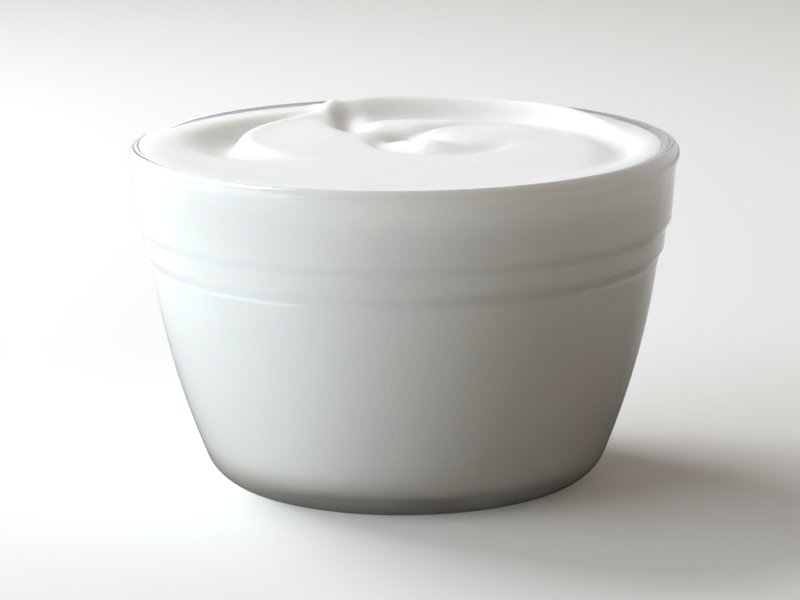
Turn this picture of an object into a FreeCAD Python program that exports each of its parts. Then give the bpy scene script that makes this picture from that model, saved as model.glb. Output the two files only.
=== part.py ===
import FreeCAD, Part

"""Bowl of yogurt: a round pressed-glass bowl filled to the brim with spoon-swirled yogurt.

The bowl stands on the origin, +Z up, and every size is in millimetres. The driving sizes are in
the spreadsheet "sizes". The glass is one half section turned about Z. The yogurt is turned from
the bowl's own inner wall, and its top is cut by a smooth surface worked out from spoon strokes.
"""

import math
import os

import Sketcher

V = FreeCAD.Vector
X_AXIS = -1
Z_AXIS = -2
ROOT_POINT = (-1, 1)
START = 1
END = 2
CENTRE = 3

BOWL_SIZES = {
    "bowl_height": 68.0,
    "rim_radius": 55.0,
    "lip_radius": 2.1,
    "bead_in": 0.7,
    "bead_drop": 2.2,
    "band_in": 0.9,
    "band_drop": 10.6,
    "band_step_in": 1.0,
    "band_step_drop": 1.8,
    "neck_in": 0.4,
    "neck_drop": 3.9,
    "neck_step_in": 1.1,
    "neck_step_drop": 1.9,
    "step_rounding": 1.2,
    "body_arc_radius": 165.0,
    "wall": 3.2,
    "heel_radius": 9.0,
    "foot_radius": 32.0,
    "foot_ring_width": 6.0,
    "foot_recess": 0.8,
    "base_thickness": 5.0,
    "inner_heel_radius": 8.0,
}

FILL_SIZES = {
    "fill_gap": 1.1,
    "edge_rise": 0.6,
    "edge_reach": 6.0,
    "crest_width": 7.0,
    "ridge_offset": 1.7,
    "ridge_width": 2.0,
    "surface_step": 2.0,
    "surface_margin": 3.0,
    "headroom": 4.0,
}

# Each spoon stroke is a groove along a spiral: where it starts, how far it sweeps, how deep and
# wide it is, and the low ridge that the spoon leaves along its inner side. A stroke whose depth is
# below zero piles the yogurt up instead.
STROKES = {
    "left_groove": {
        "centre_x": -4.0, "centre_y": 13.0, "from_angle": 254.0, "sweep_angle": -146.0,
        "from_radius": 31.0, "to_radius": 33.5, "depth": 3.95, "outer_width": 6.0,
        "inner_width": 2.6, "fade_in_angle": 90.0, "fade_out_angle": 6.0, "ridge_rise": 0.4,
    },
    "back_groove": {
        "centre_x": 0.0, "centre_y": 0.0, "from_angle": 106.0, "sweep_angle": -150.0,
        "from_radius": 39.0, "to_radius": 45.0, "depth": 1.8, "outer_width": 4.0,
        "inner_width": 4.0, "fade_in_angle": 10.0, "fade_out_angle": 45.0, "ridge_rise": 0.0,
    },
    "eye_groove": {
        "centre_x": 11.5, "centre_y": 6.5, "from_angle": 0.0, "sweep_angle": 380.0,
        "from_radius": 24.5, "to_radius": 7.0, "depth": 1.4, "outer_width": 2.2,
        "inner_width": 3.4, "fade_in_angle": 35.0, "fade_out_angle": 150.0, "ridge_rise": 0.35,
    },
    "back_crest": {
        "centre_x": 0.0, "centre_y": 0.0, "from_angle": 5.0, "sweep_angle": 160.0,
        "from_radius": 47.0, "to_radius": 47.0, "depth": -3.9, "outer_width": 3.5,
        "inner_width": 3.0, "fade_in_angle": 45.0, "fade_out_angle": 45.0, "ridge_rise": 0.0,
    },
}

# Mounds and hollows left between the strokes, each an oval turned about Z.
MOUNDS = {
    "peak": {
        "centre_x": -16.0, "centre_y": 41.5, "turn_angle": 106.0,
        "half_length": 6.0, "half_width": 1.8, "rise": 1.2,
    },
    "peak_hollow": {
        "centre_x": -11.0, "centre_y": 32.5, "turn_angle": 98.0,
        "half_length": 9.0, "half_width": 3.4, "rise": -3.9,
    },
    "eye_hollow": {
        "centre_x": 1.5, "centre_y": 16.0, "turn_angle": 114.0,
        "half_length": 9.0, "half_width": 3.6, "rise": -2.9,
    },
    "eye_knob": {
        "centre_x": 6.0, "centre_y": 2.0, "turn_angle": 10.0,
        "half_length": 4.0, "half_width": 3.2, "rise": 1.0,
    },
    "right_swell": {
        "centre_x": 20.0, "centre_y": 14.0, "turn_angle": 0.0,
        "half_length": 12.0, "half_width": 10.0, "rise": 0.6,
    },
    "left_swell": {
        "centre_x": -21.0, "centre_y": -2.0, "turn_angle": 60.0,
        "half_length": 15.0, "half_width": 9.0, "rise": 0.3,
    },
}


class SizeSheet:
    """The document's spreadsheet: each size has a row with its name, its value and its alias."""

    def __init__(self, document):
        self.sheet = document.addObject("Spreadsheet::Sheet", "sizes")
        self.row = 0

    def add(self, alias, value):
        self.row += 1
        self.sheet.set(f"A{self.row}", alias)
        self.sheet.set(f"B{self.row}", str(value))
        self.sheet.setAlias(f"B{self.row}", alias)

    def add_group(self, sizes, prefix=""):
        for name, value in sizes.items():
            self.add(prefix + name, value)

    def __getitem__(self, alias):
        return float(self.sheet.get(alias))

    def group(self, prefix, names):
        """The values of one stroke or mound, by their names without the prefix."""
        return {name: self[f"{prefix}_{name}"] for name in names}


class BowlSection:
    """The corners and arc centres of the bowl's half section, as (radius, height) pairs."""

    def __init__(self, size):
        self.lip_centre = (size["rim_radius"] - size["lip_radius"],
                           size["bowl_height"] - size["lip_radius"])
        self.lip_outer = (size["rim_radius"], self.lip_centre[1])
        self.lip_inner = (self.lip_centre[0] - size["lip_radius"], self.lip_centre[1])
        self.outside = [self.lip_outer]
        for name in ("bead", "band", "band_step", "neck", "neck_step"):
            radius, height = self.outside[-1]
            self.outside.append((radius - size[f"{name}_in"], height - size[f"{name}_drop"]))
        body_top = self.outside[-1]
        body_radius = size["body_arc_radius"]
        self.heel_centre = (size["foot_radius"], size["heel_radius"])
        self.body_centre = circle_crossing(
            body_top, body_radius, self.heel_centre, body_radius - size["heel_radius"])
        self.heel_top = beyond(self.body_centre, self.heel_centre, size["heel_radius"])
        self.foot_outer = (size["foot_radius"], 0.0)
        self.foot_inner = (size["foot_radius"] - size["foot_ring_width"], 0.0)
        self.recess_edge = (self.foot_inner[0] - size["foot_recess"], size["foot_recess"])
        self.recess_middle = (0.0, size["foot_recess"])
        self.floor_middle = (0.0, size["base_thickness"])
        inner_radius = body_radius - size["wall"]
        heel_height = size["base_thickness"] + size["inner_heel_radius"]
        heel_reach = radius_on_circle(
            self.body_centre, inner_radius - size["inner_heel_radius"], heel_height)
        self.inner_heel_centre = (heel_reach, heel_height)
        self.floor_edge = (heel_reach, size["base_thickness"])
        self.inner_heel_top = beyond(
            self.body_centre, self.inner_heel_centre, size["inner_heel_radius"])
        self.inner_body_top = (
            radius_on_circle(self.body_centre, inner_radius, body_top[1]), body_top[1])
        self.lip_top = (self.lip_centre[0], size["bowl_height"])


def circle_crossing(centre_a, radius_a, centre_b, radius_b):
    """The crossing of two circles that lies on the right of the way from a to b."""
    gap = math.dist(centre_a, centre_b)
    along = (gap * gap + radius_a * radius_a - radius_b * radius_b) / (2 * gap)
    across = math.sqrt(radius_a * radius_a - along * along)
    way = ((centre_b[0] - centre_a[0]) / gap, (centre_b[1] - centre_a[1]) / gap)
    return (centre_a[0] + along * way[0] + across * way[1],
            centre_a[1] + along * way[1] - across * way[0])


def beyond(start, middle, distance):
    """The point on the line from start through middle, a distance past middle."""
    share = distance / math.dist(start, middle)
    return (middle[0] + (middle[0] - start[0]) * share,
            middle[1] + (middle[1] - start[1]) * share)


def radius_on_circle(centre, circle_radius, height):
    """How far from the axis a circle's outer side stands at a height."""
    return centre[0] + math.sqrt(circle_radius ** 2 - (height - centre[1]) ** 2)


class HalfSection:
    """A closed outline on a body's XZ plane, drawn edge after edge and tied to the sheet."""

    def __init__(self, body, name):
        self.body = body
        self.sketch = body.newObject("Sketcher::SketchObject", name)
        planes = {plane.Role: plane for plane in body.Origin.OriginFeatures}
        self.sketch.AttachmentSupport = [(planes["XZ_Plane"], "")]
        self.sketch.MapMode = "FlatFace"
        self.chain = []

    def line(self, start, end, smooth=False):
        """A straight edge that goes on from the last one; smooth makes it leave in line."""
        edge = self.sketch.addGeometry(Part.LineSegment(V(*start, 0), V(*end, 0)))
        return self._join((edge, START, END), smooth)

    def arc(self, centre, start, end, anticlockwise, smooth=False):
        """A round edge about centre that goes on from the last one."""
        first, last = (start, end) if anticlockwise else (end, start)
        angles = [math.atan2(p[1] - centre[1], p[0] - centre[0]) for p in (first, last)]
        if angles[1] <= angles[0]:
            angles[1] += 2 * math.pi
        circle = Part.Circle(V(*centre, 0), V(0, 0, 1), math.dist(centre, start))
        edge = self.sketch.addGeometry(Part.ArcOfCircle(circle, *angles))
        ends = (START, END) if anticlockwise else (END, START)
        return self._join((edge, *ends), smooth)

    def _join(self, link, smooth):
        if self.chain:
            kind = "Tangent" if smooth else "Coincident"
            edge, _, last_end = self.chain[-1]
            self.tie(kind, edge, last_end, link[0], link[1])
        self.chain.append(link)
        return link

    def close(self):
        edge, _, last_end = self.chain[-1]
        self.tie("Coincident", edge, last_end, *self.chain[0][:2])

    def tie(self, kind, *places):
        return self.sketch.addConstraint(Sketcher.Constraint(kind, *places))

    def bind(self, kind, label, places, value, expression):
        """A named dimension, driven by an expression on the sheet's cells."""
        index = self.tie(kind, *places, value)
        self.sketch.renameConstraint(index, label)
        self.sketch.setExpression(f"Constraints.{label}", expression)

    def bind_step(self, link, name, size):
        """Ties how far a straight edge runs in and down to two cells named after it."""
        edge, first_end, last_end = link
        places = (edge, last_end, edge, first_end)
        self.bind("DistanceX", f"{name}_in", places, size[f"{name}_in"], f"sizes.{name}_in")
        self.bind("DistanceY", f"{name}_drop", places, size[f"{name}_drop"], f"sizes.{name}_drop")

    def bind_place(self, place, label, point, radius, height):
        """Ties a point's radius and height to expressions."""
        self.bind("DistanceX", f"{label}_radius", (*ROOT_POINT, *place), point[0], radius)
        self.bind("DistanceY", f"{label}_height", (*ROOT_POINT, *place), point[1], height)

    def bind_radius(self, link, label, value, expression):
        self.bind("Radius", label, link[:1], value, expression)

    def note_place(self, place, label, point):
        """Reference dimensions: a solved point's radius and height, for others to follow."""
        for kind, way, value in (("DistanceX", "radius", point[0]), ("DistanceY", "height", point[1])):
            index = self.tie(kind, *ROOT_POINT, *place, value)
            self.sketch.renameConstraint(index, f"{label}_{way}")
            self.sketch.setDriving(index, False)

    def turn(self, name):
        """Turns the outline about Z into a solid."""
        turned = self.body.newObject("PartDesign::Revolution", name)
        turned.Profile = self.sketch
        turned.ReferenceAxis = (self.sketch, ["V_Axis"])
        turned.Angle = 360.0
        return turned


def make_glass_bowl(document, size, section):
    """The glass: a half section from the lip down the outside, under the foot and up the inside."""
    body = document.addObject("PartDesign::Body", "glass_bowl")
    outline = HalfSection(body, "glass_section")
    upper = section.outside
    names = ("bead", "band", "band_step", "neck", "neck_step")
    for name, start, end in zip(names, upper, upper[1:]):
        link = outline.line(start, end)
        outline.bind_step(link, name, size)
    body_top = (link[0], link[2])
    body_arc = outline.arc(section.body_centre, upper[-1], section.heel_top, False)
    outline.bind_radius(body_arc, "body_arc_radius", size["body_arc_radius"],
                        "sizes.body_arc_radius")
    heel = outline.arc(section.heel_centre, section.heel_top, section.foot_outer, False, True)
    outline.bind_radius(heel, "heel_radius", size["heel_radius"], "sizes.heel_radius")
    foot = outline.line(section.foot_outer, section.foot_inner, True)
    for end in (START, END):
        outline.tie("PointOnObject", foot[0], end, X_AXIS)
    outline.bind("DistanceX", "foot_radius", (*ROOT_POINT, *foot[:2]), size["foot_radius"],
                 "sizes.foot_radius")
    outline.bind("DistanceX", "foot_ring_width", (foot[0], END, foot[0], START),
                 size["foot_ring_width"], "sizes.foot_ring_width")
    slope = outline.line(section.foot_inner, section.recess_edge)
    outline.bind("DistanceX", "recess_slope", (slope[0], END, slope[0], START),
                 size["foot_recess"], "sizes.foot_recess")
    outline.bind("DistanceY", "recess_height", (slope[0], START, slope[0], END),
                 size["foot_recess"], "sizes.foot_recess")
    recess = outline.line(section.recess_edge, section.recess_middle)
    outline.tie("Horizontal", recess[0])
    outline.tie("PointOnObject", recess[0], END, Z_AXIS)
    middle = outline.line(section.recess_middle, section.floor_middle)
    outline.tie("PointOnObject", middle[0], END, Z_AXIS)
    outline.bind("DistanceY", "floor_height", (*ROOT_POINT, middle[0], END),
                 size["base_thickness"], "sizes.base_thickness")
    inner_arc = draw_inner_wall(outline, size, section)
    outline.tie("Coincident", inner_arc[0], CENTRE, body_arc[0], CENTRE)
    outline.tie("Horizontal", inner_arc[0], inner_arc[2], *body_top)
    lip = outline.arc(section.lip_centre, section.lip_inner, section.lip_outer, False)
    outline.close()
    for end in (START, END):
        outline.tie("Horizontal", lip[0], CENTRE, lip[0], end)
    outline.bind_radius(lip, "lip_radius", size["lip_radius"], "sizes.lip_radius")
    outline.bind_place((lip[0], CENTRE), "lip_centre", section.lip_centre,
                       "sizes.rim_radius - sizes.lip_radius", "sizes.bowl_height - sizes.lip_radius")
    outline.note_place((body_arc[0], CENTRE), "body_centre", section.body_centre)
    outline.note_place(body_top, "body_top", upper[-1])
    turned = outline.turn("glass_turned")
    document.recompute()
    rounded = body.newObject("PartDesign::Fillet", "rounded_steps")
    rounded.Base = (turned, [ring_edge(turned.Shape, corner) for corner in upper[2:]])
    rounded.setExpression("Radius", "sizes.step_rounding")
    return body


def draw_inner_wall(outline, size, section):
    """The floor, the inner heel, the curved wall and the straight wall up to the lip."""
    floor = outline.line(section.floor_middle, section.floor_edge)
    outline.tie("Horizontal", floor[0])
    heel = outline.arc(section.inner_heel_centre, section.floor_edge, section.inner_heel_top,
                       True, True)
    outline.bind_radius(heel, "inner_heel_radius", size["inner_heel_radius"],
                        "sizes.inner_heel_radius")
    wall = outline.arc(section.body_centre, section.inner_heel_top, section.inner_body_top,
                       True, True)
    outline.bind_radius(wall, "inner_arc_radius", size["body_arc_radius"] - size["wall"],
                        "sizes.body_arc_radius - sizes.wall")
    outline.line(section.inner_body_top, section.lip_inner)
    return wall


def ring_edge(shape, corner):
    """The name of the round edge at a corner of the half section."""
    for number, edge in enumerate(shape.Edges, 1):
        middle = edge.Vertexes[0].Point
        if math.dist((math.hypot(middle.x, middle.y), middle.z), corner) < 0.01:
            if abs(edge.Length - 2 * math.pi * corner[0]) < 0.1:
                return f"Edge{number}"
    raise ValueError(f"no ring edge at {corner}")


def make_yogurt_fill(document, size, section):
    """The yogurt before it is swirled: the bowl's inside, with headroom above the rim."""
    body = document.addObject("PartDesign::Body", "yogurt_fill")
    outline = HalfSection(body, "fill_section")
    fill_top = size["bowl_height"] + size["headroom"]
    top_edge = (section.lip_top[0], fill_top)
    top_middle = (0.0, fill_top)
    middle = outline.line(top_middle, section.floor_middle)
    for end in (START, END):
        outline.tie("PointOnObject", middle[0], end, Z_AXIS)
    outline.bind("DistanceY", "floor_height", (*ROOT_POINT, middle[0], END),
                 size["base_thickness"], "sizes.base_thickness")
    outline.bind("DistanceY", "top_height", (*ROOT_POINT, middle[0], START), fill_top,
                 "sizes.bowl_height + sizes.headroom")
    wall = draw_inner_wall(outline, size, section)
    outline.bind_place((wall[0], CENTRE), "arc_centre", section.body_centre,
                       "glass_section.Constraints.body_centre_radius",
                       "glass_section.Constraints.body_centre_height")
    outline.bind("DistanceY", "arc_top_height", (*ROOT_POINT, wall[0], wall[2]),
                 section.inner_body_top[1], "glass_section.Constraints.body_top_height")
    lip = outline.arc(section.lip_centre, section.lip_inner, section.lip_top, False)
    outline.tie("Horizontal", lip[0], CENTRE, lip[0], lip[1])
    outline.tie("Vertical", lip[0], CENTRE, lip[0], lip[2])
    outline.bind_radius(lip, "lip_radius", size["lip_radius"], "sizes.lip_radius")
    outline.bind_place((lip[0], CENTRE), "lip_centre", section.lip_centre,
                       "sizes.rim_radius - sizes.lip_radius", "sizes.bowl_height - sizes.lip_radius")
    side = outline.line(section.lip_top, top_edge)
    outline.tie("Vertical", side[0])
    top = outline.line(top_edge, top_middle)
    outline.tie("Horizontal", top[0])
    outline.close()
    outline.turn("fill_turned")
    return body


def ease(share):
    """Rises smoothly from 0 to 1 as share goes from 0 to 1."""
    share = min(max(share, 0.0), 1.0)
    return share * share * (3.0 - 2.0 * share)


def bell(distance, width):
    return math.exp(-(distance / width) ** 2)


class YogurtTop:
    """The height of the swirled surface at any place inside the bowl."""

    def __init__(self, size, section):
        self.level = size["bowl_height"] - size["fill_gap"]
        self.wall_radius = section.lip_inner[0]
        self.size = size
        self.strokes = [size.group(name, sizes) for name, sizes in STROKES.items()]
        self.mounds = [size.group(name, sizes) for name, sizes in MOUNDS.items()]

    def height(self, x, y):
        to_wall = self.wall_radius - math.hypot(x, y)
        crest = ease(to_wall / self.size["crest_width"])
        edge = self.size["edge_rise"] * bell(min(-to_wall, 0.0), self.size["edge_reach"])
        cut = sum(self._groove(stroke, x, y) for stroke in self.strokes)
        raised = sum(self._mound(mound, x, y) for mound in self.mounds)
        return self.level + edge - crest * cut + raised

    def _groove(self, stroke, x, y):
        """How deep a stroke cuts here, less the ridge along its inner side."""
        dx = x - stroke["centre_x"]
        dy = y - stroke["centre_y"]
        reach = math.hypot(dx, dy)
        way = math.copysign(1.0, stroke["sweep_angle"])
        sweep = abs(stroke["sweep_angle"])
        turn = (way * (math.degrees(math.atan2(dy, dx)) - stroke["from_angle"])) % 360.0
        depth = 0.0
        while turn <= sweep:
            share = turn / sweep
            line = stroke["from_radius"] + (stroke["to_radius"] - stroke["from_radius"]) * share
            fade_in = ease(turn / stroke["fade_in_angle"])
            fade = fade_in * ease((sweep - turn) / stroke["fade_out_angle"])
            off = reach - line
            width = stroke["outer_width"] if off > 0 else stroke["inner_width"]
            ridge_off = off + self.size["ridge_offset"] * stroke["inner_width"]
            ridge = stroke["ridge_rise"] * bell(ridge_off, self.size["ridge_width"])
            depth += fade * (stroke["depth"] * bell(off, width) - ridge)
            turn += 360.0
        return depth

    @staticmethod
    def _mound(mound, x, y):
        turn = math.radians(mound["turn_angle"])
        dx = x - mound["centre_x"]
        dy = y - mound["centre_y"]
        along = dx * math.cos(turn) + dy * math.sin(turn)
        across = dy * math.cos(turn) - dx * math.sin(turn)
        return mound["rise"] * bell(along, mound["half_length"]) * bell(across, mound["half_width"])


def make_air_above(document, size, section):
    """What the spoon and the air leave out of the fill: all that lies over the swirled surface."""
    top = YogurtTop(size, section)
    reach = section.lip_top[0] + size["surface_margin"]
    steps = math.ceil(2 * reach / size["surface_step"])
    places = [reach * (2 * index / steps - 1) for index in range(steps + 1)]
    grid = [[V(x, y, top.height(x, y)) for y in places] for x in places]
    surface = Part.BSplineSurface()
    surface.interpolate(grid)
    air = document.addObject("Part::Feature", "air_above")
    air.Shape = surface.toShape().extrude(V(0, 0, size["bowl_height"]))
    return air


def make_yogurt(document, size, section):
    """The yogurt: the fill with the air above the swirl cut away."""
    fill = make_yogurt_fill(document, size, section)
    yogurt = document.addObject("Part::Cut", "yogurt")
    yogurt.Base = fill
    yogurt.Tool = make_air_above(document, size, section)
    return yogurt


def check(document, parts):
    """Stops before anything is written if an object failed or a part isn't one valid solid."""
    for item in document.Objects:
        if {"Invalid", "Error"} & set(item.State):
            raise RuntimeError(f"{item.Name} failed: {item.State}")
    for part in parts:
        if part.Shape.isNull() or not part.Shape.isValid() or len(part.Shape.Solids) != 1:
            raise RuntimeError(f"{part.Label} is not one valid solid")


def main():
    document = FreeCAD.newDocument("yogurt_bowl")
    size = SizeSheet(document)
    size.add_group(BOWL_SIZES)
    size.add_group(FILL_SIZES)
    for name, sizes in {**STROKES, **MOUNDS}.items():
        size.add_group(sizes, f"{name}_")
    document.recompute()
    section = BowlSection(size)
    parts = [make_glass_bowl(document, size, section), make_yogurt(document, size, section)]
    document.recompute()
    check(document, parts)
    os.makedirs("parts", exist_ok=True)
    for part in parts:
        part.Shape.exportStep(f"parts/{part.Label}.step")
        low, high = part.Shape.BoundBox.ZMin, part.Shape.BoundBox.ZMax
        print(f"{part.Label}: {part.Shape.Volume / 1000:.1f} ml, z {low:.2f} to {high:.2f}")


main()
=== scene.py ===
"""Looks of a bowl of yogurt: the clear pressed-glass bowl and the swirled yogurt that fills it.

Both pieces are half sections turned about the bowl's axis by Geometry Nodes, and the yogurt's top
is then raised and cut by node groups for spoon strokes and mounds. Sizes are in millimetres and
degrees, and become metres where a mesh, a light or the camera is made.
"""

import logging
import math
from dataclasses import dataclass, field
from enum import Enum
from typing import Any, Iterable, Iterator

import bpy
from mathutils import Matrix, Vector


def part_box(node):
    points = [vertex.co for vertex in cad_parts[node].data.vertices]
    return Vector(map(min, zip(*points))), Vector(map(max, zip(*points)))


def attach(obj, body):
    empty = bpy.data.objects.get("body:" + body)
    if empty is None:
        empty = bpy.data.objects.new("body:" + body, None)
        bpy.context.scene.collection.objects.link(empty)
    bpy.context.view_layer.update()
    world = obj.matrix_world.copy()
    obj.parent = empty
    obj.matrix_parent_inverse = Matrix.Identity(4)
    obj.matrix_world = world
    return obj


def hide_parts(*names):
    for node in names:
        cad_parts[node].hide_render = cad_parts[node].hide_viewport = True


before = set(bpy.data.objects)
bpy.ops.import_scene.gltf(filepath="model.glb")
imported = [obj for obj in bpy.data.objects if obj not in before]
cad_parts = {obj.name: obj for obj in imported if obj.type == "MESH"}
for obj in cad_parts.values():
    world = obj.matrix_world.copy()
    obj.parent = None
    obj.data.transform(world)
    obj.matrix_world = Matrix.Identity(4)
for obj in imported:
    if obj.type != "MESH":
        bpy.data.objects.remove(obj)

LOG = logging.getLogger("bowl_of_yogurt")
MM = 0.001
MM_PER_METRE = 1000.0
FULL_TURN = 360.0
HALF_TURN = 180.0
RIGHT_ANGLE = 90.0
STRAIGHT_DOWN = -90.0
SAME_PLACE = 1e-6
HUB = MM
WELD = MM * 0.001
MIX_SHARE, MIX_FIRST, MIX_SECOND, MIX_RESULT = 0, 6, 7, 2

Point = tuple[float, float]
Place = tuple[float, float, float]
Colour = tuple[float, float, float]


class StirWay(Enum):
    """Which way round a spoon stroke goes, seen from above."""

    CLOCKWISE = -1.0
    ANTICLOCKWISE = 1.0


class Field:
    """A number in a node tree that can be reckoned with like a plain number."""

    def __init__(self, wiring: "Wiring", socket: bpy.types.NodeSocket) -> None:
        self.wiring = wiring
        self.socket = socket

    def __add__(self, other: Any) -> "Field":
        """Sum."""
        return self.wiring.reckon("ADD", self, other)

    def __sub__(self, other: Any) -> "Field":
        """Difference."""
        return self.wiring.reckon("SUBTRACT", self, other)

    def __rsub__(self, other: Any) -> "Field":
        """Difference from a plain number."""
        return self.wiring.reckon("SUBTRACT", other, self)

    def __mul__(self, other: Any) -> "Field":
        """Product."""
        return self.wiring.reckon("MULTIPLY", self, other)

    def __truediv__(self, other: Any) -> "Field":
        """Quotient."""
        return self.wiring.reckon("DIVIDE", self, other)


class Wiring:
    """Adds nodes to one node tree and joins them."""

    def __init__(self, tree: bpy.types.NodeTree) -> None:
        self.tree = tree

    def add(self, kind: str, feeds: dict[Any, Any] | None = None, **settings: Any) -> bpy.types.Node:
        """Adds a node.

        Args:
            kind: The node's type name.
            feeds: What goes into its inputs, by name or number: a value, a socket or a field.
            settings: The node's own properties.

        Returns:
            The new node.
        """
        node = self.tree.nodes.new(kind)
        for name, value in settings.items():
            setattr(node, name, value)
        for key, value in (feeds or {}).items():
            self.feed(node.inputs[key], value)
        return node

    def feed(self, socket: bpy.types.NodeSocket, value: Any) -> None:
        """Links a socket or field to an input, or sets the input's own value.

        Args:
            socket: The input.
            value: A socket, a field or a plain value.
        """
        if isinstance(value, Field):
            value = value.socket
        if isinstance(value, bpy.types.NodeSocket):
            self.tree.links.new(value, socket)
        else:
            socket.default_value = value

    def field(self, socket: bpy.types.NodeSocket) -> Field:
        """Wraps a socket so that it can be reckoned with."""
        return Field(self, socket)

    def reckon(self, operation: str, *terms: Any) -> Field:
        """Adds a Math node and returns its result.

        Args:
            operation: The node's operation.
            terms: Its inputs in order: numbers, sockets or fields.

        Returns:
            The result as a field.
        """
        node = self.add("ShaderNodeMath", dict(enumerate(terms)), operation=operation)
        return self.field(node.outputs[0])

    def ease(self, share: Any) -> Field:
        """Rises smoothly from 0 to 1 as share goes from 0 to 1, and stays level outside that."""
        node = self.add("ShaderNodeMapRange", {0: share}, interpolation_type="SMOOTHSTEP")
        return self.field(node.outputs[0])

    def bell(self, distance: Any, width: Any) -> Field:
        """Falls from 1 at no distance to almost 0 at twice the width."""
        ratio = self.reckon("DIVIDE", distance, width)
        return self.reckon("EXPONENT", 0.0 - ratio * ratio)

    def blend(self, share: bpy.types.NodeSocket, first: Colour,
              second: Colour) -> bpy.types.NodeSocket:
        """Goes from the first colour to the second as share goes from 0 to 1.

        Args:
            share: The socket that gives the share.
            first: The colour at 0.
            second: The colour at 1.

        Returns:
            The socket with the colour.
        """
        mix = self.add("ShaderNodeMix", data_type="RGBA")
        self.feed(mix.inputs[MIX_SHARE], share)
        self.feed(mix.inputs[MIX_FIRST], (*first, 1.0))
        self.feed(mix.inputs[MIX_SECOND], (*second, 1.0))
        return mix.outputs[MIX_RESULT]

    def split(self, vector: bpy.types.NodeSocket) -> tuple[Field, Field, Field]:
        """The three components of a vector as fields."""
        parts = self.add("ShaderNodeSeparateXYZ", {0: vector}).outputs
        return self.field(parts[0]), self.field(parts[1]), self.field(parts[2])


def open_group(name: str, kind: str, takes: Iterable[tuple[str, str]],
               gives: Iterable[tuple[str, str]]) -> tuple[Wiring, bpy.types.Node, bpy.types.Node]:
    """Makes a node group with named sockets.

    Args:
        name: The group's name.
        kind: GeometryNodeTree or ShaderNodeTree.
        takes: The name and socket type of each input.
        gives: The name and socket type of each output.

    Returns:
        The group's wiring, its input node and its output node.
    """
    tree = bpy.data.node_groups.new(name, kind)
    for way, sockets in (("INPUT", takes), ("OUTPUT", gives)):
        for label, socket_type in sockets:
            tree.interface.new_socket(name=label, in_out=way, socket_type=socket_type)
    wiring = Wiring(tree)
    return wiring, wiring.add("NodeGroupInput"), wiring.add("NodeGroupOutput")


def place_group(wiring: Wiring, group: bpy.types.NodeTree, feeds: dict[str, Any]) -> bpy.types.Node:
    """Places a node group in a tree and feeds its inputs by name.

    Args:
        wiring: The tree's wiring.
        group: The group.
        feeds: What goes into its inputs: a value, a socket or a field.

    Returns:
        The group's node.
    """
    kind = "GeometryNodeGroup" if group.type == "GEOMETRY" else "ShaderNodeGroup"
    node = wiring.add(kind, node_tree=group)
    for name, value in feeds.items():
        wiring.feed(node.inputs[name], value)
    return node


def group_inputs(tree: bpy.types.NodeTree) -> Iterator[Any]:
    """The interface entries of a tree's inputs."""
    for item in tree.interface.items_tree:
        if item.item_type == "SOCKET" and item.in_out == "INPUT":
            yield item


@dataclass
class Outline:
    """Half of a section through the axis, as (radius, height) points in millimetres."""

    points: list[Point] = field(default_factory=list)
    on_top: list[float] = field(default_factory=list)

    def add(self, point: Point, on_top: float = 0.0) -> None:
        """Adds one point, unless it stands where the last one does."""
        if not self.points or math.dist(self.points[-1], point) > SAME_PLACE:
            self.points.append(point)
            self.on_top.append(on_top)

    def line(self, end: Point, steps: int, on_top: float = 0.0) -> None:
        """Goes straight from the last point to end in equal steps.

        Args:
            end: Where it ends.
            steps: How many edges it has.
            on_top: 1 where the points belong to the surface that gets swirled, else 0.
        """
        start = self.points[-1]
        for step in range(1, steps + 1):
            share = step / steps
            self.add((start[0] + (end[0] - start[0]) * share,
                      start[1] + (end[1] - start[1]) * share), on_top)

    def arc(self, centre: Point, radius: float, start: float, end: float, steps: int) -> None:
        """Goes round centre from one angle to another, in degrees, in equal steps.

        Args:
            centre: The arc's centre.
            radius: Its radius.
            start: Its first angle.
            end: Its last angle.
            steps: How many edges it has.
        """
        for step in range(steps + 1):
            angle = math.radians(start + (end - start) * step / steps)
            self.add((centre[0] + radius * math.cos(angle), centre[1] + radius * math.sin(angle)))

    def corner(self, before: Point, point: Point, after: Point, radius: float, steps: int) -> None:
        """Rounds a corner between the straight ways from before and to after.

        Args:
            before: A point on the way in.
            point: The sharp corner.
            after: A point on the way out.
            radius: The rounding's radius.
            steps: How many edges the rounding has.
        """
        way_in = unit(point, before)
        way_out = unit(point, after)
        half = math.acos(way_in[0] * way_out[0] + way_in[1] * way_out[1]) / 2
        setback = radius / math.tan(half)
        reach = radius / math.sin(half)
        middle = unit((0.0, 0.0), (way_in[0] + way_out[0], way_in[1] + way_out[1]))
        centre = (point[0] + middle[0] * reach, point[1] + middle[1] * reach)
        start = (point[0] + way_in[0] * setback, point[1] + way_in[1] * setback)
        end = (point[0] + way_out[0] * setback, point[1] + way_out[1] * setback)
        first = bearing(centre, start)
        turn = (bearing(centre, end) - first + HALF_TURN) % FULL_TURN - HALF_TURN
        self.arc(centre, radius, first, first + turn, steps)


def unit(start: Point, end: Point) -> Point:
    """The direction from start to end."""
    span = math.dist(start, end)
    return (end[0] - start[0]) / span, (end[1] - start[1]) / span


def bearing(centre: Point, point: Point) -> float:
    """The angle of a point about a centre, in degrees."""
    return math.degrees(math.atan2(point[1] - centre[1], point[0] - centre[0]))


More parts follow.
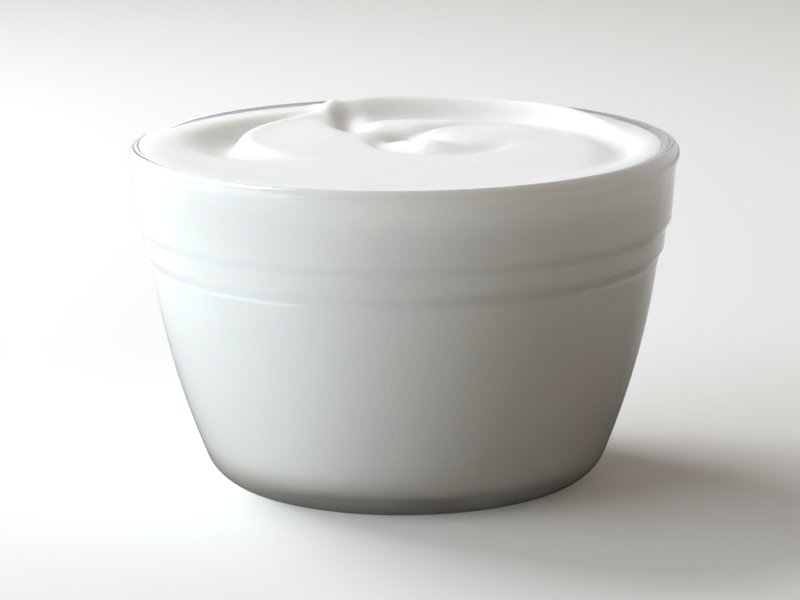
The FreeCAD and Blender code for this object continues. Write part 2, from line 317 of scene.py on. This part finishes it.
def circle_crossing(centre_a: Point, radius_a: float, centre_b: Point, radius_b: float) -> Point:
    """The crossing of two circles that lies on the right of the way from a to b.

    Args:
        centre_a: The first circle's centre.
        radius_a: Its radius.
        centre_b: The second circle's centre.
        radius_b: Its radius.

    Returns:
        The crossing.
    """
    gap = math.dist(centre_a, centre_b)
    along = (gap * gap + radius_a * radius_a - radius_b * radius_b) / (2 * gap)
    across = math.sqrt(radius_a * radius_a - along * along)
    way = unit(centre_a, centre_b)
    return (centre_a[0] + along * way[0] + across * way[1],
            centre_a[1] + along * way[1] - across * way[0])


@dataclass(frozen=True)
class BowlSizes:
    """The glass bowl's section, in millimetres. The rim's radius and height are the frame's.

    Each of steps_down goes inward and down: the bead, the band, the step under it, the neck and
    the step under that. The fields that end in _steps say into how many edges a stretch is cut.
    """

    rim_radius: float
    bowl_height: float
    lip_radius: float = 2.1
    steps_down: tuple[Point, ...] = ((0.7, 2.2), (0.9, 10.6), (1.0, 1.8), (0.4, 3.9), (1.1, 1.9))
    step_rounding: float = 1.2
    body_arc_radius: float = 165.0
    wall: float = 3.2
    heel_radius: float = 9.0
    foot_radius: float = 32.0
    foot_ring_width: float = 6.0
    foot_recess: float = 0.8
    base_thickness: float = 5.0
    inner_heel_radius: float = 8.0
    edge_softness: float = 0.35
    short_steps: int = 4
    corner_steps: int = 8
    body_steps: int = 40
    heel_steps: int = 18
    recess_steps: int = 12
    inner_floor_steps: int = 14
    inner_heel_steps: int = 14
    inner_body_steps: int = 24
    inner_band_steps: int = 8

    @property
    def lip_centre(self) -> Point:
        """The middle of the rolled lip's round."""
        return self.rim_radius - self.lip_radius, self.bowl_height - self.lip_radius

    @property
    def wall_radius(self) -> float:
        """The inner radius at the lip."""
        return self.lip_centre[0] - self.lip_radius

    @property
    def corners(self) -> list[Point]:
        """The outside corners from the lip down to the top of the round body."""
        corners = [(self.rim_radius, self.lip_centre[1])]
        for inward, down in self.steps_down:
            corners.append((corners[-1][0] - inward, corners[-1][1] - down))
        return corners

    @property
    def body_centre(self) -> Point:
        """The centre of the arcs that the body's outside and inside follow."""
        return circle_crossing(self.corners[-1], self.body_arc_radius,
                               (self.foot_radius, self.heel_radius),
                               self.body_arc_radius - self.heel_radius)

    def outside(self) -> Outline:
        """The outside, from the lip's outer edge down to the middle of the foot's recess.

        Returns:
            The outline.
        """
        outline = Outline()
        corners = self.corners
        body = self.body_centre
        heel = (self.foot_radius, self.heel_radius)
        body_start = bearing(body, corners[-1])
        body_end = bearing(body, heel)
        one_degree_on = math.radians(body_start - 1.0)
        past_corner = (body[0] + self.body_arc_radius * math.cos(one_degree_on),
                       body[1] + self.body_arc_radius * math.sin(one_degree_on))
        outline.add(corners[0])
        outline.line(corners[1], self.short_steps)
        ways = [*corners, past_corner]
        for before, corner, after in zip(ways[1:], ways[2:], ways[3:]):
            outline.corner(before, corner, after, self.step_rounding, self.corner_steps)
        outline.arc(body, self.body_arc_radius, bearing(body, outline.points[-1]), body_end,
                    self.body_steps)
        outline.arc(heel, self.heel_radius, body_end, STRAIGHT_DOWN, self.heel_steps)
        ring_in = (self.foot_radius - self.foot_ring_width, 0.0)
        recess = (ring_in[0] - self.foot_recess, self.foot_recess)
        middle = (0.0, self.foot_recess)
        outline.line((ring_in[0] + self.edge_softness * 2, 0.0), self.short_steps)
        outline.corner(heel, ring_in, recess, self.edge_softness, self.short_steps)
        outline.corner(ring_in, recess, middle, self.edge_softness, self.short_steps)
        outline.line(middle, self.recess_steps)
        return outline

    def inside(self, bite: float) -> Outline:
        """The inside, from the middle of the floor up to the lip's inner edge.

        Args:
            bite: How far the line is moved into the glass.

        Returns:
            The outline.
        """
        outline = Outline()
        body = self.body_centre
        arc_radius = self.body_arc_radius - self.wall + bite
        heel_radius = self.inner_heel_radius + bite
        heel_height = self.base_thickness + self.inner_heel_radius
        heel_reach = math.sqrt((arc_radius - heel_radius) ** 2 - (heel_height - body[1]) ** 2)
        heel = (body[0] + heel_reach, heel_height)
        top = self.corners[-1][1]
        outline.add((0.0, self.base_thickness - bite))
        outline.line((heel[0], self.base_thickness - bite), self.inner_floor_steps)
        outline.arc(heel, heel_radius, STRAIGHT_DOWN, bearing(body, heel), self.inner_heel_steps)
        wall_end = math.degrees(math.asin((top - body[1]) / arc_radius))
        outline.arc(body, arc_radius, bearing(body, heel), wall_end, self.inner_body_steps)
        outline.line((self.wall_radius + bite, self.lip_centre[1]), self.inner_band_steps)
        return outline


@dataclass(frozen=True)
class SpoonStroke:
    """A groove that a spoon leaves along a spiral, with a low ridge along its inner side.

    Where the depth is below zero the stroke piles the yogurt up instead.
    """

    name: str
    centre: Point
    from_angle: float
    sweep: float
    way: StirWay
    from_radius: float
    to_radius: float
    depth: float
    outer_width: float
    inner_width: float
    fade_in: float
    fade_out: float
    ridge_rise: float
    ridge_offset: float = 1.7
    ridge_width: float = 2.0

    def feeds(self) -> dict[str, float]:
        """The stroke's sizes under the names of the node group's inputs."""
        return {
            "Centre X": self.centre[0], "Centre Y": self.centre[1],
            "From Angle": self.from_angle, "Sweep": self.sweep, "Way": self.way.value,
            "From Radius": self.from_radius, "To Radius": self.to_radius, "Depth": self.depth,
            "Outer Width": self.outer_width, "Inner Width": self.inner_width,
            "Fade In": self.fade_in, "Fade Out": self.fade_out, "Ridge Rise": self.ridge_rise,
            "Ridge Offset": self.ridge_offset, "Ridge Width": self.ridge_width,
        }


@dataclass(frozen=True)
class Mound:
    """An oval swelling between the strokes, or a hollow where its rise is below zero."""

    name: str
    centre: Point
    turn: float
    half_length: float
    half_width: float
    rise: float

    def feeds(self) -> dict[str, float]:
        """The mound's sizes under the names of the node group's inputs."""
        return {
            "Centre X": self.centre[0], "Centre Y": self.centre[1], "Turn": self.turn,
            "Half Length": self.half_length, "Half Width": self.half_width, "Rise": self.rise,
        }


STROKES = (
    SpoonStroke("left_groove", centre=(-4.0, 13.0), from_angle=254.0, sweep=146.0,
                way=StirWay.CLOCKWISE, from_radius=31.0, to_radius=33.5, depth=3.95,
                outer_width=6.0, inner_width=2.6, fade_in=90.0, fade_out=6.0, ridge_rise=0.4),
    SpoonStroke("back_groove", centre=(0.0, 0.0), from_angle=106.0, sweep=150.0,
                way=StirWay.CLOCKWISE, from_radius=39.0, to_radius=45.0, depth=1.8,
                outer_width=4.0, inner_width=4.0, fade_in=10.0, fade_out=45.0, ridge_rise=0.0),
    SpoonStroke("eye_groove", centre=(11.5, 6.5), from_angle=0.0, sweep=380.0,
                way=StirWay.ANTICLOCKWISE, from_radius=24.5, to_radius=7.0, depth=1.4,
                outer_width=2.2, inner_width=3.4, fade_in=35.0, fade_out=150.0, ridge_rise=0.35),
    SpoonStroke("back_crest", centre=(0.0, 0.0), from_angle=5.0, sweep=160.0,
                way=StirWay.ANTICLOCKWISE, from_radius=47.0, to_radius=47.0, depth=-3.9,
                outer_width=3.5, inner_width=3.0, fade_in=45.0, fade_out=45.0, ridge_rise=0.0),
)

MOUNDS = (
    Mound("peak", centre=(-16.0, 41.5), turn=106.0, half_length=6.0, half_width=1.8, rise=1.2),
    Mound("peak_hollow", centre=(-11.0, 32.5), turn=98.0, half_length=9.0, half_width=3.4,
          rise=-3.9),
    Mound("eye_hollow", centre=(1.5, 16.0), turn=114.0, half_length=9.0, half_width=3.6,
          rise=-2.9),
    Mound("eye_knob", centre=(6.0, 2.0), turn=10.0, half_length=4.0, half_width=3.2, rise=1.0),
    Mound("right_swell", centre=(20.0, 14.0), turn=0.0, half_length=12.0, half_width=10.0,
          rise=0.6),
    Mound("left_swell", centre=(-21.0, -2.0), turn=60.0, half_length=15.0, half_width=9.0,
          rise=0.3),
)


def stroke_group() -> bpy.types.NodeTree:
    """Builds the node group that works out how deep one spoon stroke cuts at a place.

    Returns:
        The group, whose inputs are X, Y and the sizes of a SpoonStroke.
    """
    names = ("X", "Y", *STROKES[0].feeds())
    wiring, taken, given = open_group("spoon_stroke", "GeometryNodeTree",
                                      [(name, "NodeSocketFloat") for name in names],
                                      [("Cut", "NodeSocketFloat")])
    size = {name: wiring.field(taken.outputs[name]) for name in names}
    across = size["X"] - size["Centre X"]
    along = size["Y"] - size["Centre Y"]
    reach = wiring.reckon("SQRT", across * across + along * along)
    angle = wiring.reckon("DEGREES", wiring.reckon("ARCTAN2", along, across))
    first_turn = wiring.reckon("FLOORED_MODULO", (angle - size["From Angle"]) * size["Way"],
                               FULL_TURN)

    def one_round(turn: Field) -> Field:
        """How deep the stroke cuts where it has come round by this many degrees."""
        line = size["From Radius"] + (size["To Radius"] - size["From Radius"]) * turn / size["Sweep"]
        fade = wiring.ease(turn / size["Fade In"])
        fade = fade * wiring.ease((size["Sweep"] - turn) / size["Fade Out"])
        off = reach - line
        outside = wiring.reckon("GREATER_THAN", off, 0.0)
        width = size["Inner Width"] + (size["Outer Width"] - size["Inner Width"]) * outside
        ridge_off = off + size["Ridge Offset"] * size["Inner Width"]
        ridge = size["Ridge Rise"] * wiring.bell(ridge_off, size["Ridge Width"])
        return fade * (size["Depth"] * wiring.bell(off, width) - ridge)

    wiring.feed(given.inputs["Cut"], one_round(first_turn) + one_round(first_turn + FULL_TURN))
    return wiring.tree


def mound_group() -> bpy.types.NodeTree:
    """Builds the node group that works out how much one mound adds at a place.

    Returns:
        The group, whose inputs are X, Y and the sizes of a Mound.
    """
    names = ("X", "Y", *MOUNDS[0].feeds())
    wiring, taken, given = open_group("mound", "GeometryNodeTree",
                                      [(name, "NodeSocketFloat") for name in names],
                                      [("Height", "NodeSocketFloat")])
    size = {name: wiring.field(taken.outputs[name]) for name in names}
    turn = wiring.reckon("RADIANS", size["Turn"])
    cosine = wiring.reckon("COSINE", turn)
    sine = wiring.reckon("SINE", turn)
    east = size["X"] - size["Centre X"]
    north = size["Y"] - size["Centre Y"]
    lengthwise = wiring.bell(east * cosine + north * sine, size["Half Length"])
    crosswise = wiring.bell(north * cosine - east * sine, size["Half Width"])
    wiring.feed(given.inputs["Height"], size["Rise"] * lengthwise * crosswise)
    return wiring.tree


LATHE_INPUTS = (
    ("Section", "NodeSocketGeometry"), ("Sides", "NodeSocketInt"), ("Hub", "NodeSocketFloat"),
    ("Weld", "NodeSocketFloat"), ("Finish", "NodeSocketMaterial"),
)
SWIRL_INPUTS = (
    ("Level", "NodeSocketFloat"), ("Wall Radius", "NodeSocketFloat"),
    ("Edge Rise", "NodeSocketFloat"), ("Edge Reach", "NodeSocketFloat"),
    ("Crest Width", "NodeSocketFloat"),
)


def turn_section(wiring: Wiring, taken: bpy.types.Node) -> bpy.types.NodeSocket:
    """Turns the section about Z: it is swept round a small circle, the hub.

    Args:
        wiring: The tree's wiring.
        taken: Its input node, which has the LATHE_INPUTS.

    Returns:
        The socket with the turned mesh, welded along the axis.
    """
    ring = wiring.add("GeometryNodeCurvePrimitiveCircle",
                      {"Resolution": taken.outputs["Sides"], "Radius": taken.outputs["Hub"]})
    upright = wiring.add("GeometryNodeSetCurveNormal", {"Curve": ring.outputs["Curve"]})
    upright.mode = "Z_UP"
    section = wiring.add("GeometryNodeMeshToCurve", {"Mesh": taken.outputs["Section"]})
    swept = wiring.add("GeometryNodeCurveToMesh", {"Curve": upright.outputs["Curve"],
                                                   "Profile Curve": section.outputs["Curve"]})
    welded = wiring.add("GeometryNodeMergeByDistance", {"Geometry": swept.outputs["Mesh"],
                                                        "Distance": taken.outputs["Weld"]})
    return welded.outputs["Geometry"]


def finish_tree(wiring: Wiring, taken: bpy.types.Node, given: bpy.types.Node,
                geometry: bpy.types.NodeSocket) -> bpy.types.NodeTree:
    """Ends a tree: smooth shading, realized instances and the material.

    Args:
        wiring: The tree's wiring.
        taken: Its input node.
        given: Its output node.
        geometry: The socket with the finished shape.

    Returns:
        The tree.
    """
    smooth = wiring.add("GeometryNodeSetShadeSmooth", {"Geometry": geometry})
    real = wiring.add("GeometryNodeRealizeInstances", {"Geometry": smooth.outputs["Geometry"]})
    dressed = wiring.add("GeometryNodeSetMaterial", {"Geometry": real.outputs["Geometry"],
                                                     "Material": taken.outputs["Finish"]})
    wiring.feed(given.inputs["Piece"], dressed.outputs["Geometry"])
    return wiring.tree


def lathe_tree() -> bpy.types.NodeTree:
    """Builds the tree that turns a section about Z and leaves it as it is.

    Returns:
        The tree.
    """
    wiring, taken, given = open_group("turned_piece", "GeometryNodeTree", LATHE_INPUTS,
                                      [("Piece", "NodeSocketGeometry")])
    return finish_tree(wiring, taken, given, turn_section(wiring, taken))


def swirl_tree() -> bpy.types.NodeTree:
    """Builds the tree that turns a section about Z and then swirls its top.

    Returns:
        The tree.
    """
    wiring, taken, given = open_group("swirled_piece", "GeometryNodeTree",
                                      (*LATHE_INPUTS, *SWIRL_INPUTS),
                                      [("Piece", "NodeSocketGeometry")])
    turned = turn_section(wiring, taken)
    place = wiring.split(wiring.add("GeometryNodeInputPosition").outputs["Position"])
    x, y = place[0] * MM_PER_METRE, place[1] * MM_PER_METRE
    size = {name: wiring.field(taken.outputs[name]) for name, _ in SWIRL_INPUTS}
    to_wall = size["Wall Radius"] - wiring.reckon("SQRT", x * x + y * y)
    crest = wiring.ease(to_wall / size["Crest Width"])
    edge = size["Edge Rise"] * wiring.bell(wiring.reckon("MAXIMUM", to_wall, 0.0),
                                           size["Edge Reach"])
    height = size["Level"] + edge
    stroke, mound = stroke_group(), mound_group()
    for each in STROKES:
        cut = place_group(wiring, stroke, {"X": x, "Y": y, **each.feeds()})
        cut.label = each.name
        height = height - crest * wiring.field(cut.outputs["Cut"])
    for each in MOUNDS:
        raised = place_group(wiring, mound, {"X": x, "Y": y, **each.feeds()})
        raised.label = each.name
        height = height + wiring.field(raised.outputs["Height"])
    on_top = wiring.add("GeometryNodeInputNamedAttribute", {"Name": "on_top"}, data_type="FLOAT")
    lifted = wiring.add("ShaderNodeCombineXYZ", {0: place[0], 1: place[1], 2: height * MM})
    swirled = wiring.add("GeometryNodeSetPosition", {
        "Geometry": turned, "Selection": on_top.outputs["Attribute"],
        "Position": lifted.outputs[0]})
    return finish_tree(wiring, taken, given, swirled.outputs["Geometry"])


def turned_piece(name: str, outline: Outline, tree: bpy.types.NodeTree,
                 values: dict[str, Any]) -> bpy.types.Object:
    """Makes one closed mesh from a section.

    Args:
        name: The piece's name.
        outline: Its half section, from the axis back to the axis.
        tree: The node tree that turns it.
        values: The tree's inputs by name.

    Returns:
        The piece, with a plain mesh and no modifier.
    """
    mesh = bpy.data.meshes.new(f"{name}_section")
    hub = values["Hub"]
    places = [(radius * MM - hub, -height * MM, 0.0) for radius, height in outline.points]
    mesh.from_pydata(places, [(n, n + 1) for n in range(len(places) - 1)], [])
    mesh.attributes.new("on_top", "FLOAT", "POINT").data.foreach_set("value", outline.on_top)
    piece = bpy.data.objects.new(name, mesh)
    modifier = piece.modifiers.new("turn", "NODES")
    modifier.node_group = tree
    for item in group_inputs(tree):
        if item.name in values:
            modifier[item.identifier] = values[item.name]
    bpy.context.scene.collection.objects.link(piece)
    bpy.context.view_layer.update()
    solid = piece.evaluated_get(bpy.context.evaluated_depsgraph_get())
    piece.data = bpy.data.meshes.new_from_object(solid)
    piece.data.name = name
    piece.modifiers.clear()
    bpy.data.meshes.remove(mesh)
    return piece


class VariationGroup:
    """A shader group used by every finish: a soft cloudy mask, mapped to a range."""

    tree: bpy.types.NodeTree | None = None
    darkest_noise: float = 0.3
    lightest_noise: float = 0.7

    @classmethod
    def place(cls, wiring: Wiring, scale: float, detail: float, low: float,
              high: float) -> bpy.types.NodeSocket:
        """Places the group in a material.

        Args:
            wiring: The material's wiring.
            scale: How many clouds fit in a metre.
            detail: How many finer layers the clouds have.
            low: The value between clouds.
            high: The value on a cloud.

        Returns:
            The socket with the value.
        """
        if cls.tree is None:
            cls.tree = cls.build()
        node = place_group(wiring, cls.tree, {"Scale": scale, "Detail": detail, "Low": low,
                                              "High": high})
        return node.outputs["Value"]

    @classmethod
    def build(cls) -> bpy.types.NodeTree:
        """Builds the group once.

        Returns:
            The group.
        """
        wiring, taken, given = open_group(
            "surface_variation", "ShaderNodeTree",
            [(name, "NodeSocketFloat") for name in ("Scale", "Detail", "Low", "High")],
            [("Value", "NodeSocketFloat")])
        place = wiring.add("ShaderNodeTexCoord").outputs["Object"]
        cloud = wiring.add("ShaderNodeTexNoise", {
            "Vector": place, "Scale": taken.outputs["Scale"], "Detail": taken.outputs["Detail"]})
        value = wiring.add("ShaderNodeMapRange", {
            "Value": cloud.outputs["Fac"],
            "From Min": cls.darkest_noise, "From Max": cls.lightest_noise,
            "To Min": taken.outputs["Low"], "To Max": taken.outputs["High"]})
        wiring.feed(given.inputs["Value"], value.outputs[0])
        return wiring.tree


def new_material(name: str) -> tuple[bpy.types.Material, Wiring, bpy.types.Node]:
    """Makes a node material with nothing in it but its output.

    Args:
        name: The material's name.

    Returns:
        The material, its wiring and its output node.
    """
    material = bpy.data.materials.new(name)
    material.use_nodes = True
    material.node_tree.nodes.clear()
    wiring = Wiring(material.node_tree)
    return material, wiring, wiring.add("ShaderNodeOutputMaterial")


@dataclass(frozen=True)
class ClearGlass:
    """Clear pressed glass: fire-polished, with the faint waviness that the mould leaves."""

    tint: Colour = (0.975, 0.985, 0.985)
    ior: float = 1.5
    smoothest: float = 0.01
    dullest: float = 0.05
    polish_scale: float = 35.0
    polish_detail: float = 2.0
    wave_scale: float = 60.0
    wave_detail: float = 1.0
    wave_depth: float = 0.00004

    def material(self) -> bpy.types.Material:
        """Builds the glass, which lets the light of lamps pass straight through.

        Returns:
            The material.
        """
        material, wiring, output = new_material("clear_pressed_glass")
        rough = VariationGroup.place(wiring, self.polish_scale, self.polish_detail,
                                     self.smoothest, self.dullest)
        wave = VariationGroup.place(wiring, self.wave_scale, self.wave_detail, 0.0, 1.0)
        bump = wiring.add("ShaderNodeBump", {"Height": wave, "Distance": self.wave_depth,
                                             "Strength": 1.0})
        glass = wiring.add("ShaderNodeBsdfPrincipled", {
            "Base Color": (*self.tint, 1.0), "Roughness": rough, "IOR": self.ior,
            "Transmission Weight": 1.0, "Normal": bump.outputs["Normal"]})
        clear = wiring.add("ShaderNodeBsdfTransparent", {"Color": (*self.tint, 1.0)})
        path = wiring.add("ShaderNodeLightPath")
        mix = wiring.add("ShaderNodeMixShader", {
            0: path.outputs["Is Shadow Ray"], 1: glass.outputs[0], 2: clear.outputs[0]})
        wiring.feed(output.inputs["Surface"], mix.outputs[0])
        return material


@dataclass(frozen=True)
class FreshYogurt:
    """Thick white yogurt: light wanders far into it, and its skin is smooth and moist."""

    cream: Colour = (0.93, 0.94, 0.93)
    whey: Colour = (0.91, 0.92, 0.905)
    scatter: Colour = (1.0, 0.95, 0.84)
    scatter_depth: float = 0.003
    ior: float = 1.4
    dull: float = 0.46
    moist: float = 0.32
    cloud_scale: float = 70.0
    cloud_detail: float = 3.0
    sheen_scale: float = 120.0
    sheen_detail: float = 2.0
    grain_scale: float = 900.0
    grain_detail: float = 2.0
    grain_depth: float = 0.00003

    def material(self) -> bpy.types.Material:
        """Builds the yogurt.

        Returns:
            The material.
        """
        material, wiring, output = new_material("fresh_yogurt")
        cloud = VariationGroup.place(wiring, self.cloud_scale, self.cloud_detail, 0.0, 1.0)
        colour = wiring.blend(cloud, self.cream, self.whey)
        rough = VariationGroup.place(wiring, self.sheen_scale, self.sheen_detail, self.moist,
                                     self.dull)
        grain = VariationGroup.place(wiring, self.grain_scale, self.grain_detail, 0.0, 1.0)
        bump = wiring.add("ShaderNodeBump", {"Height": grain, "Distance": self.grain_depth,
                                             "Strength": 1.0})
        yogurt = wiring.add("ShaderNodeBsdfPrincipled", {
            "Base Color": colour, "Roughness": rough, "IOR": self.ior,
            "Subsurface Weight": 1.0, "Subsurface Radius": self.scatter,
            "Subsurface Scale": self.scatter_depth, "Normal": bump.outputs["Normal"]})
        wiring.feed(output.inputs["Surface"], yogurt.outputs[0])
        return material


@dataclass
class GlassBowl:
    """The pressed-glass bowl: a rolled rim, stepped bands, a round body and a foot ring."""

    sizes: BowlSizes
    finish: ClearGlass = ClearGlass()
    sides: int = 256
    lip_steps: int = 20

    def outline(self) -> Outline:
        """The whole section: up the inside, over the lip and down the outside.

        Returns:
            The outline, from the axis back to the axis.
        """
        outline = self.sizes.inside(0.0)
        outline.arc(self.sizes.lip_centre, self.sizes.lip_radius, HALF_TURN, 0.0,
                    self.lip_steps)
        for point in self.sizes.outside().points:
            outline.add(point)
        return outline

    def build(self) -> bpy.types.Object:
        """Makes the glass, rides it on the part and puts it in its node's place.

        Returns:
            The piece.
        """
        values = {"Sides": self.sides, "Hub": HUB, "Weld": WELD,
                  "Finish": self.finish.material()}
        piece = turned_piece("clear_glass", self.outline(), lathe_tree(), values)
        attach(piece, "root")
        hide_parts("glass_bowl")
        return piece


@dataclass
class Yogurt:
    """The yogurt: it reaches just into the glass all round, and its top is swirled."""

    sizes: BowlSizes
    finish: FreshYogurt = FreshYogurt()
    bite: float = 0.12
    fill_gap: float = 1.1
    edge_rise: float = 0.6
    edge_reach: float = 6.0
    crest_width: float = 7.0
    sides: int = 480
    lip_steps: int = 6
    top_steps: int = 110

    def outline(self) -> Outline:
        """The section: floor, wall and lip a little inside the glass, then the top.

        Returns:
            The outline, from the top's middle round to the floor's middle.
        """
        outline = self.sizes.inside(self.bite)
        lip = self.sizes.lip_centre
        radius = self.sizes.lip_radius - self.bite
        edge_height = self.sizes.bowl_height - self.fill_gap + self.edge_rise
        edge_angle = math.degrees(math.asin((edge_height - lip[1]) / radius))
        outline.arc(lip, radius, HALF_TURN, HALF_TURN - edge_angle, self.lip_steps)
        outline.on_top[-1] = 1.0
        outline.line((0.0, edge_height), self.top_steps, on_top=1.0)
        return Outline(outline.points[::-1], outline.on_top[::-1])

    def build(self) -> bpy.types.Object:
        """Makes the yogurt, rides it on the part and puts it in its node's place.

        Returns:
            The piece.
        """
        values = {
            "Sides": self.sides, "Hub": HUB, "Weld": WELD, "Finish": self.finish.material(),
            "Level": self.sizes.bowl_height - self.fill_gap,
            "Wall Radius": self.sizes.wall_radius, "Edge Rise": self.edge_rise,
            "Edge Reach": self.edge_reach, "Crest Width": self.crest_width,
        }
        piece = turned_piece("swirled_yogurt", self.outline(), swirl_tree(), values)
        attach(piece, "root")
        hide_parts("yogurt")
        return piece


@dataclass
class SoftLight:
    """A square soft box that looks at the bowl."""

    name: str
    azimuth: float
    elevation: float
    distance: float
    side: float
    power: float
    colour: Colour

    def build(self, target: Vector) -> bpy.types.Object:
        """Hangs the light. Azimuth 0 is the camera's side and grows to the right.

        Args:
            target: What the light looks at.

        Returns:
            The light.
        """
        lamp = bpy.data.lights.new(self.name, "AREA")
        lamp.shape = "SQUARE"
        lamp.size = self.side
        lamp.energy = self.power
        lamp.color = self.colour
        light = bpy.data.objects.new(self.name, lamp)
        azimuth, elevation = math.radians(self.azimuth), math.radians(self.elevation)
        way = Vector((math.sin(azimuth) * math.cos(elevation),
                      -math.cos(azimuth) * math.cos(elevation), math.sin(elevation)))
        light.location = target + way * self.distance
        light.rotation_euler = way.to_track_quat("Z", "Y").to_euler()
        bpy.context.scene.collection.objects.link(light)
        return light


@dataclass
class Studio:
    """The floor, the soft lights, the surroundings and the camera. Lengths are in metres.

    near_reach and far_reach say where the floor that shows in glass turns from its painted shadow
    by the bowl to pale, and front_ends and back_starts say the same of the room, on its way from in
    front to behind.
    """

    floor_radius: float = 4.0
    floor_sides: int = 64
    floor_seen: Colour = (0.95, 0.95, 0.95)
    floor_bounce: Colour = (0.68, 0.59, 0.49)
    painted_shadow_in_glass: Colour = (0.07, 0.08, 0.085)
    far_floor_in_glass: Colour = (0.80, 0.82, 0.83)
    near_reach: float = 0.06
    far_reach: float = 0.20
    backdrop: Colour = (0.97, 0.97, 0.97)
    ambient: Colour = (0.24, 0.205, 0.17)
    room_front: Colour = (0.05, 0.06, 0.065)
    room_back: Colour = (0.95, 0.98, 1.0)
    front_ends: float = -0.3
    back_starts: float = 0.5
    camera_place: Place = (-0.001, -0.7383, 0.1981)
    lens: float = 169.04
    look_down: float = 12.41
    tilt: float = 0.5
    nearest_seen: float = 0.01
    lights: tuple[SoftLight, ...] = (
        SoftLight("key_light", azimuth=-72.0, elevation=21.0, distance=1.0, side=0.9, power=6.7,
                  colour=(0.83, 0.935, 1.0)),
        SoftLight("top_light", azimuth=-130.0, elevation=46.0, distance=0.9, side=0.45, power=5.6,
                  colour=(0.95, 0.985, 1.0)),
    )

    def build(self, target: Vector) -> None:
        """Sets up everything round the bowl.

        Args:
            target: What the lights look at.
        """
        self.make_camera()
        self.make_floor()
        self.make_surroundings()
        for light in self.lights:
            light.build(target)

    def make_camera(self) -> None:
        """Places the camera, which looks down on the bowl from the front."""
        lens = bpy.data.cameras.new("camera")
        lens.lens = self.lens
        lens.clip_start = self.nearest_seen
        camera = bpy.data.objects.new("camera", lens)
        pitch = Matrix.Rotation(math.radians(RIGHT_ANGLE - self.look_down), 4, "X")
        roll = Matrix.Rotation(math.radians(-self.tilt), 4, "Z")
        camera.matrix_world = Matrix.Translation(self.camera_place) @ pitch @ roll
        bpy.context.scene.collection.objects.link(camera)
        bpy.context.scene.camera = camera

    @staticmethod
    def by_path(wiring: Wiring, seen: Any, lit: Any, in_glass: Any) -> bpy.types.NodeSocket:
        """Chooses between three shaders by what the ray is for.

        Args:
            wiring: The wiring of the floor or the world.
            seen: What is looked at directly.
            lit: What lights the yogurt and the floor.
            in_glass: What is mirrored or seen through the glass.

        Returns:
            The chosen shader.
        """
        path = wiring.add("ShaderNodeLightPath")
        has_bounced = wiring.reckon("GREATER_THAN", path.outputs["Diffuse Depth"], 0.0)
        other = wiring.add("ShaderNodeMixShader", {0: has_bounced, 1: in_glass, 2: lit})
        mix = wiring.add("ShaderNodeMixShader", {
            0: path.outputs["Is Camera Ray"], 1: other.outputs[0], 2: seen})
        return mix.outputs[0]

    def make_floor(self) -> None:
        """Lays a round pale floor. Where glass shows it, a painted shadow makes it dark by the bowl,
        and it is pale far off.
        """
        mesh = bpy.data.meshes.new("floor")
        turns = [2 * math.pi * n / self.floor_sides for n in range(self.floor_sides)]
        mesh.from_pydata([(self.floor_radius * math.cos(t), self.floor_radius * math.sin(t), 0.0)
                          for t in turns], [], [tuple(range(self.floor_sides))])
        floor = bpy.data.objects.new("floor", mesh)
        bpy.context.scene.collection.objects.link(floor)
        material, wiring, output = new_material("pale_floor")
        place = wiring.add("ShaderNodeTexCoord").outputs["Object"]
        away = wiring.add("ShaderNodeVectorMath", {0: place}, operation="LENGTH").outputs["Value"]
        far = wiring.add("ShaderNodeMapRange", {
            "Value": away, "From Min": self.near_reach, "From Max": self.far_reach})
        # Painted shadow: the floor seen in glass is dark by the bowl, in place of the shade under
        # it.
        in_glass = wiring.blend(far.outputs[0], self.painted_shadow_in_glass, self.far_floor_in_glass)
        shaders = [wiring.add("ShaderNodeBsdfDiffuse", {"Color": colour}).outputs[0] for colour in
                   ((*self.floor_seen, 1.0), (*self.floor_bounce, 1.0), in_glass)]
        wiring.feed(output.inputs["Surface"], self.by_path(wiring, *shaders))
        mesh.materials.append(material)

    def make_surroundings(self) -> None:
        """A pale backdrop, a dim warm room to light by, and a room to mirror, bright behind."""
        world = bpy.data.worlds.new("studio")
        world.use_nodes = True
        world.node_tree.nodes.clear()
        wiring = Wiring(world.node_tree)
        way = wiring.split(wiring.add("ShaderNodeTexCoord").outputs["Generated"])
        behind = wiring.add("ShaderNodeMapRange", {
            "Value": way[1], "From Min": self.front_ends, "From Max": self.back_starts},
            interpolation_type="SMOOTHSTEP")
        room = wiring.blend(behind.outputs[0], self.room_front, self.room_back)
        shaders = [wiring.add("ShaderNodeBackground", {"Color": colour}).outputs[0] for colour in
                   ((*self.backdrop, 1.0), (*self.ambient, 1.0), room)]
        output = wiring.add("ShaderNodeOutputWorld")
        wiring.feed(output.inputs["Surface"], self.by_path(wiring, *shaders))
        bpy.context.scene.world = world


def report(piece: bpy.types.Object) -> None:
    """Logs a piece's size and how many faces it has.

    Args:
        piece: The piece.
    """
    LOG.info("%s: %d faces, %.1f x %.1f x %.1f mm", piece.name, len(piece.data.polygons),
             *(side * MM_PER_METRE for side in piece.dimensions))


def main() -> None:
    """Builds the bowl, the yogurt and the studio in order."""
    logging.basicConfig(level=logging.INFO, format="%(name)s: %(message)s")
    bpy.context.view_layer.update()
    bpy.context.scene.view_settings.view_transform = "Standard"
    low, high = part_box("glass_bowl")
    sizes = BowlSizes(rim_radius=high.y * MM_PER_METRE, bowl_height=high.z * MM_PER_METRE)
    Studio().build(Vector((0.0, 0.0, high.z / 2)))
    for part in (GlassBowl(sizes), Yogurt(sizes)):
        report(part.build())


if __name__ == "__main__":
    main()
